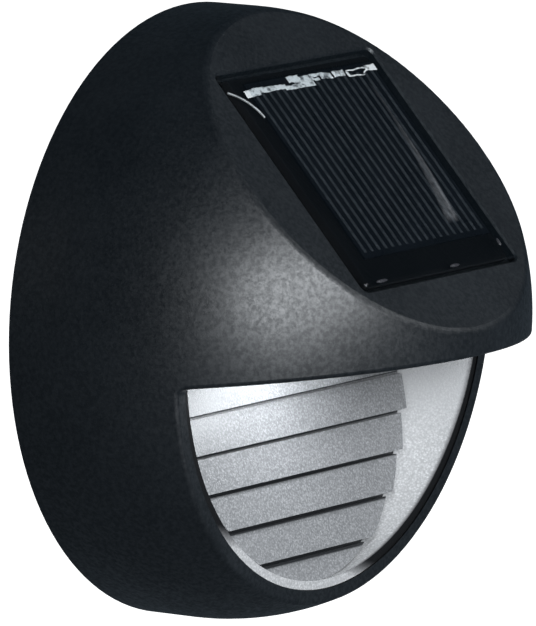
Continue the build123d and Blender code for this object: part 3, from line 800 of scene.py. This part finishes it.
# beads of the resin that was poured round the panel, in mm on the flat
resinBeads = {
    # (x, up, turn in degrees, half length)
    "spots": [(-20.4, -30.7, 0.0, 1.9), (4.6, -30.7, 0.0, 1.6), (22.9, -27.7, 84.0, 0.9)],
    "halfWidth": 0.38,
    "height": 0.28,
    "level": 0.72,
    "colours": ((0.02, 0.02, 0.024), (0.05, 0.05, 0.056)),
    "roughness": (0.2, 0.32),
}


def beadFinish(look):
    paint = Finish("resinBead")
    cloud = paint.grain(0.0006, 2.0)
    return paint.done(paint.principled(
        Base_Color=paint.tint(cloud, *look["colours"]),
        Roughness=paint.uneven(cloud, *look["roughness"]),
        Normal=paint.bump(cloud, 0.00002),
    ))


def makeBeads(look):
    beads = []
    for x, up, turn, half in look["spots"]:
        one = bmesh.new()
        bmesh.ops.create_uvsphere(one, u_segments=28, v_segments=16, radius=1.0)
        size = Matrix.Diagonal((half * mm, look["halfWidth"] * mm, look["height"] * mm, 1.0))
        spot = Matrix.Translation(Vector((x, up, look["level"])) * mm)
        one.transform(flatPlace @ spot @ Matrix.Rotation(math.radians(turn), 4, "Z") @ size)
        beads.append(meshFrom("bead", one))
    mesh = joinMeshes("resin_beads", beads)
    mesh.shade_smooth()
    addObject("resin_beads", mesh, beadFinish(look), "lamp")


paintedStreak = {
    # painted reflection streak on the cover, in mm on the flat: x = straight - bend * (up - crown) ** 2
    "straight": 17.6,
    "crown": 10.0,
    "bend": 0.0043,
    "ends": (-21.6, 12.6),
    "fades": (1.6, 3.0),               # length over which it fades, at the lower and the upper end
    "halfWidth": (2.3, 0.45),          # at the lower and at the upper end
    "brightLine": 0.55,                # place of its brighter line, as a share of the half width
    "lineWidth": 0.4,
    "cover": (0.17, 0.05),             # share of the painted reflection over the clear resin, at the lower and the upper end
    "strength": 0.6,
}
resin = {
    "through": (0.86, 0.88, 0.89),     # what is left of light that goes straight through
    "skinColour": (0.95, 0.97, 1.0),
    "skinRoughness": 0.06,
    # pale grey of the painted reflection streak
    "streakColour": (0.62, 0.64, 0.67),
    "streakRoughness": 0.5,
    "index": 1.47,
    "rippleSize": 0.011,
    "rippleDepth": 0.00012,
    "face": (0.0006, 0.0007),          # height of the cover's face over the flat
}


# where the painted reflection streak lies on the cover
def paintedStreakMask(paint, look):
    where = paint.placeOn(flatLean)
    x, up = paint.axis("X", where) * toMm, paint.axis("Y", where) * toMm
    low, high = look["ends"]
    lowFade, highFade = look["fades"]
    fromCrown = up - look["crown"]
    off = x - look["straight"] + fromCrown * fromCrown * look["bend"]
    across = off / paint.ramp(up, low, high * 0.3, *look["halfWidth"])
    body = paint.ramp(across * across, 0.25, 1.0, 1.0, 0.0)
    toLine, reach = across - look["brightLine"], look["lineWidth"]
    edge = paint.ramp(toLine, -reach, 0.0) * paint.ramp(toLine, 0.0, reach, 1.0, 0.0)
    ends = paint.ramp(up, low, low + lowFade) * paint.ramp(up, high - highFade, high, 1.0, 0.0)
    patchy = paint.ramp(paint.grain(0.0011, 3.0, 0.6), 0.32, 0.62, 0.45, 1.0)
    share = paint.ramp(up, low, high * 0.4, *look["cover"])
    return (body + edge) * look["strength"] * ends * patchy * share


def clearCover(look):
    # clear resin: light goes straight through, with a surface gloss that grows at grazing angles and a
    # painted reflection streak on its face
    paint = Finish("clearResin")
    bend = paint.bump(paint.grain(look["rippleSize"], 2.0), look["rippleDepth"], 0.6)
    through = paint.add("ShaderNodeBsdfTransparent", {}, {"Color": rgba(look["through"])})
    skin = paint.principled(
        Base_Color=rgba(look["skinColour"]), Metallic=1.0, Roughness=look["skinRoughness"], Normal=bend,
    )
    rim = paint.add("ShaderNodeFresnel", {}, {"IOR": look["index"], "Normal": bend})
    outside = 1.0 - paint.add("ShaderNodeNewGeometry", take="Backfacing")
    clear = paint.blend(rim * outside, through, skin)
    level = paint.axis("Z", paint.placeOn(flatLean)) - flat["distance"]
    top = paint.ramp(level, *look["face"])
    # pale grey layer that paints the reflection streak
    streakLayer = paint.principled(Base_Color=rgba(look["streakColour"]), Roughness=look["streakRoughness"])
    return paint.done(paint.blend(paintedStreakMask(paint, paintedStreak) * outside * top, clear, streakLayer))


blackBoard = dict(
    charcoal, colour=(0.003, 0.003, 0.0034), worn=(0.005, 0.005, 0.0056),
    grainSize=0.0004, roughness=0.6, gloss=0.08, patchGloss=0.0,
)
dress(clearCover(resin), "panel_cover")
dress(siliconFinish(silicon), "solar_cell")
dress(texturedPlastic("blackBoard", blackBoard), "panel_backing")
makeFingers(cell)
makeRibbon(ribbon)
makeCellWire(cellWire)
makeBeads(resinBeads)
print("panel dressed")

# lamps
lid = {
    "seat": Vector((0.0, -29.543, -1.077)) * mm,   # under the lamp board, between the two lamps
    "rise": math.radians(4.6),
    "boardThickness": 1.4 * mm,
}
lidUp = Vector((0.0, math.sin(lid["rise"]), math.cos(lid["rise"])))
lampShape = {
    "spacing": 22.0 * mm,
    "radius": 2.4 * mm,
    "flange": 2.8 * mm,
    "flangeHeight": 1.0 * mm,
    "flangeRound": 0.15 * mm,
    "length": 7.0 * mm,
    "glow": 30.0,
    "rightShare": 0.45,                # the right lamp is the weaker one
    "glowColour": (0.93, 0.97, 1.0),
    "colours": ((0.86, 0.86, 0.82), (0.93, 0.93, 0.90)),
    "roughness": (0.16, 0.28),
}


def lampFinish(look):
    # milky lens that glows most at its tip
    paint = Finish("lampLens")
    low = lid["seat"].z - look["length"]
    tip = paint.ramp(paint.axis("Z"), low, low + 0.6 * look["length"], 1.0, 0.15)
    share = paint.ramp(paint.axis("X"), -1.0 * mm, 1.0 * mm, 1.0, look["rightShare"])
    milk = paint.grain(0.0009, 2.0)
    return paint.done(paint.principled(
        Base_Color=paint.tint(milk, *look["colours"]),
        Roughness=paint.uneven(milk, *look["roughness"]),
        Emission_Color=paint.tint(tip * share, (0.0, 0.0, 0.0), look["glowColour"]),
        Emission_Strength=look["glow"],
    ))


def makeLamps(look):
    radius, flange, flangeHeight = look["radius"], look["flange"], look["flangeHeight"]
    centre = radius - look["length"]
    dome = [math.radians(degrees) for degrees in range(0, 90, 10)]
    outline = [
        (0.0, 0.0),
        (flange, 0.0),
        (flange, -flangeHeight * 0.85),
        (flange - look["flangeRound"], -flangeHeight),
        (radius, -flangeHeight),
        *((radius * math.cos(turn), centre - radius * math.sin(turn)) for turn in dome),
        (0.0, centre - radius),
    ]
    lenses = []
    for side in (-0.5, 0.5):
        lens = latheMesh("lens", outline, 40)
        lens.transform(basis(lid["seat"] + Vector((side * look["spacing"], 0, 0)), (1, 0, 0), lidUp))
        lenses.append(lens)
    mesh = joinMeshes("lamp_lenses", lenses)
    smoothByAngle(mesh, 35)
    return addObject("lamp_lenses", mesh, lampFinish(look), "lamp", ("leds",))


# the wide, soft part of the lamps' glow, which turns with them; place and target in mm
wideGlow = {
    "place": (-9.0, -43.0, -5.0),
    "target": (-13.0, -22.0, -17.0),
    "size": (0.020, 0.009),
    "watts": 0.0208,
}


def makeGlow(look, lenses):
    place, target = Vector(look["place"]), Vector(look["target"])
    glow = addAreaLight("wideGlow", look["size"], look["watts"], coolWhite, place * mm, target - place)
    glow.visible_camera = False
    glow.parent = lenses


makeGlow(wideGlow, makeLamps(lampShape))
print("lamps made")

# screws, in mm
screwKinds = {
    # name: (head radius, head height, countersunk, shank radius, length under the head's top, thread pitch)
    "coverScrew": (2.8, 1.9, True, 1.15, 12.0, 0.9),
    "panScrew": (2.8, 1.8, False, 1.15, 7.2, 0.9),
    "boardScrew": (1.7, 1.1, False, 0.75, 5.5, 0.6),
    "doorScrew": (2.1, 1.38, True, 0.9, 6.0, 0.7),
}
screwShape = {
    "root": 0.76,                      # bottom of the thread, as a share of the shank's radius
    "point": 0.7,                      # length of the point
    "arm": 0.62,                       # cross recess, as shares of the head's radius
    "halfWidth": 0.13,
    "depth": 0.75,                     # and of its height
    "steps": 20,
}


def crossMesh(name, arm, half, deep):
    # tapered cross that cuts the recess of a head
    cut = bmesh.new()
    square = ((-1, -1), (1, -1), (1, 1), (-1, 1))
    for turn in (0.0, math.pi / 2):
        turned = Matrix.Rotation(turn, 3, "Z")
        top = [cut.verts.new(turned @ Vector((x * arm, y * half, 0.2)) * mm) for x, y in square]
        low = [cut.verts.new(turned @ Vector((x * arm * 0.35, y * half * 0.8, -deep)) * mm)
               for x, y in square]
        cut.faces.new(top)
        cut.faces.new(list(reversed(low)))
        for side in range(4):
            after = (side + 1) % 4
            cut.faces.new((top[side], low[side], low[after], top[after]))
    bmesh.ops.recalc_face_normals(cut, faces=cut.faces)
    return meshFrom(name, cut)


def screwMesh(name, size, look):
    radius, height, sunk, shank, length, pitch = size
    root = shank * look["root"]
    if sunk:
        outline = [(0.0, 0.0), (radius - 0.1, 0.0), (radius, -0.1), (shank, -height)]
    else:
        outline = [
            (0.0, 0.0), (radius * 0.45, -0.03), (radius * 0.8, -0.2),
            (radius, -height * 0.55), (radius, -height), (shank, -height),
        ]
    depth = height
    while depth + pitch < length - look["point"] - 0.1:
        outline += [(root, -depth - pitch * 0.35), (root, -depth - pitch * 0.55), (shank, -depth - pitch)]
        depth += pitch
    outline += [(root, -length + look["point"]), (0.0, -length)]
    mesh = latheMesh(name, [(across * mm, down * mm) for across, down in outline], look["steps"])
    head = intoScene(name, mesh)
    arms = crossMesh(name + "Cross", radius * look["arm"], radius * look["halfWidth"], height * look["depth"])
    cross = intoScene(name + "Cross", arms)
    recess = head.modifiers.new("recess", "BOOLEAN")
    recess.operation = "DIFFERENCE"
    recess.solver = "EXACT"
    recess.use_self = True
    recess.object = cross
    result = finalMesh(name, head)
    bpy.data.objects.remove(cross)
    smoothByAngle(result, 40)
    return result


def screwTree():
    # puts one screw at each point, turned as the point's attribute says
    tree = GeoTree("screwSet", {
        "Screw": ("NodeSocketObject", None),
        "Material": ("NodeSocketMaterial", None),
    })
    one = tree.add("GeometryNodeObjectInfo", {}, {"Object": tree.entry("Screw")}, take="Geometry")
    turn = tree.add("GeometryNodeInputNamedAttribute", {"data_type": "FLOAT_VECTOR"}, {"Name": "turn"})
    rotation = tree.add("FunctionNodeEulerToRotation", {}, {0: turn})
    points = tree.add("GeometryNodeMeshToPoints", {}, {"Mesh": tree.entry("Geometry")})
    placed = tree.add("GeometryNodeInstanceOnPoints", {},
                      {"Points": points, "Instance": one, "Rotation": rotation})
    tree.finish(placed, tree.entry("Material"))
    return tree


def onRing(degrees, depth):
    # place of a screw on the ring of bosses round the housing
    ringRadius = 52.4
    turn = math.radians(degrees)
    return Vector((ringRadius * math.cos(turn), -depth, ringRadius * math.sin(turn))) * mm


toFence, toFront = Vector((0, 1, 0)), Vector((0, -1, 0))
lampBoardTop = lid["seat"] + lidUp * (lid["boardThickness"] + screwKinds["boardScrew"][1] * mm)
screwSets = {
    # node: (kind, places of the heads' tops with the way they face)
    "cover_screws": ("coverScrew", [(onRing(45 + 90 * quarter, 6.6), toFence) for quarter in range(4)]),
    "reflector_screws": ("panScrew", [(onRing(degrees, 19.0), toFence) for degrees in (196, 344)]),
    "board_screws": ("boardScrew", [
        (Vector((-20.0, -16.1, 36.4)) * mm, toFront),
        (Vector((20.0, -16.1, 24.4)) * mm, toFront),
        (lampBoardTop + Vector((-21.0, 0, 0)) * mm, lidUp),
        (lampBoardTop + Vector((21.0, 0, 0)) * mm, lidUp),
    ]),
    "battery_door_screw": ("doorScrew", [(Vector((29.15, -6.6, 10.0)) * mm, toFence)]),
}


def makeScrews(sets):
    steel = wornMetal("zincScrew")
    tree = screwTree()
    for node, (kind, seats) in sets.items():
        template = intoScene(kind, screwMesh(kind, screwKinds[kind], screwShape))
        places = [basis(spot, (1, 0, 0), way) for spot, way in seats]
        mesh = tree.grow(node + "_cut", spotMesh(node, places), {"Screw": template, "Material": steel})
        bpy.data.objects.remove(template)
        addObject(node + "_cut", mesh, None, "lamp", (node,))


makeScrews(screwSets)
print("screws made")

# battery, boards, switch and wires
sleeve = {
    "colours": ((0.035, 0.16, 0.06), (0.05, 0.20, 0.08)),
    "bandColour": (0.55, 0.55, 0.53),
    "steelColour": (0.62, 0.62, 0.60),
    "bandFrom": (0.0125, 0.0126),      # along X: the pale band, then the bare end at the nub
    "bareFrom": (0.0185, 0.0187),
    "metal": 0.9,
    "roughness": (0.26, 0.4),
}


def sleeveFinish(look):
    # battery: plain printed sleeve with a bare steel end
    paint = Finish("cellSleeve")
    along = paint.axis("X")
    bare = paint.ramp(along, *look["bareFrom"])
    band = paint.ramp(along, *look["bandFrom"]) * (1.0 - bare)
    worn = paint.grain(0.0016, 3.0)
    coated = paint.tint(band, paint.tint(worn, *look["colours"]), look["bandColour"])
    return paint.done(paint.principled(
        Base_Color=paint.tint(bare, coated, look["steelColour"]),
        Metallic=bare * look["metal"],
        Roughness=paint.uneven(worn, *look["roughness"]),
        Normal=paint.bump(worn, 0.00002),
    ))


boards = {
    # name: (solder resist, the same over copper)
    "greenBoard": ((0.010, 0.085, 0.030), (0.03, 0.16, 0.055)),
    "whiteBoard": ((0.60, 0.60, 0.57), (0.72, 0.71, 0.66)),
}


def boardFinish(name):
    # solder resist with faint tracks under it
    paint = Finish(name)
    where = paint.place(stretch=(1.0, 0.2, 1.0))
    blocks = paint.add("ShaderNodeTexVoronoi", {"distance": "CHEBYCHEV", "feature": "F1"},
                       {"Vector": where, "Scale": 260.0, "Randomness": 0.55})
    tracks = paint.ramp(blocks, 0.30, 0.36)
    fine = paint.grain(0.0004, 2.0)
    return paint.done(paint.principled(
        Base_Color=paint.tint(tracks, *boards[name]),
        Roughness=paint.uneven(fine, 0.3, 0.42),
        Normal=paint.bump(tracks * 0.8 + fine * 0.2, 0.00003),
    ))


wires = {
    "left": ((0.38, 0.02, 0.015), (0.5, 0.035, 0.025)),     # the red wire of each pair
    "right": ((0.012, 0.012, 0.012), (0.03, 0.03, 0.03)),   # and the black one
    "roughness": (0.38, 0.5),
}


def wireFinish(look):
    paint = Finish("wireSleeve")
    side = paint.ramp(paint.axis("X"), -0.1 * mm, 0.1 * mm)
    skin = paint.grain(0.0012, 3.0)
    return paint.done(paint.principled(
        Base_Color=paint.tint(side, paint.tint(skin, *look["left"]), paint.tint(skin, *look["right"])),
        Roughness=paint.uneven(skin, *look["roughness"]),
        Normal=paint.bump(skin, 0.00002),
    ))


partPlastic = dict(
    charcoal, colour=(0.012, 0.012, 0.013), worn=(0.02, 0.02, 0.021), grainSize=0.0003,
)
sealFoam = dict(
    charcoal, colour=(0.016, 0.016, 0.017), worn=(0.03, 0.03, 0.031),
    grainSize=0.0009, grainDepth=0.0002, roughness=0.75,
)
dress(sleeveFinish(sleeve), "battery")
dress(boardFinish("greenBoard"), "control_board")
dress(boardFinish("whiteBoard"), "led_board")
dress(texturedPlastic("partPlastic", partPlastic), "board_parts")
dress(wornMetal("nickelPlate"), "battery_contact_plus", "battery_contact_minus", "slide_switch")
dress(texturedPlastic("knobPlastic", dict(blackMoulding, grainSize=0.0003)), "switch_knob")
dress(texturedPlastic("sealFoam", sealFoam), "cover_gasket")
dress(wireFinish(wires), "panel_leads", "led_leads")
print("inside dressed")
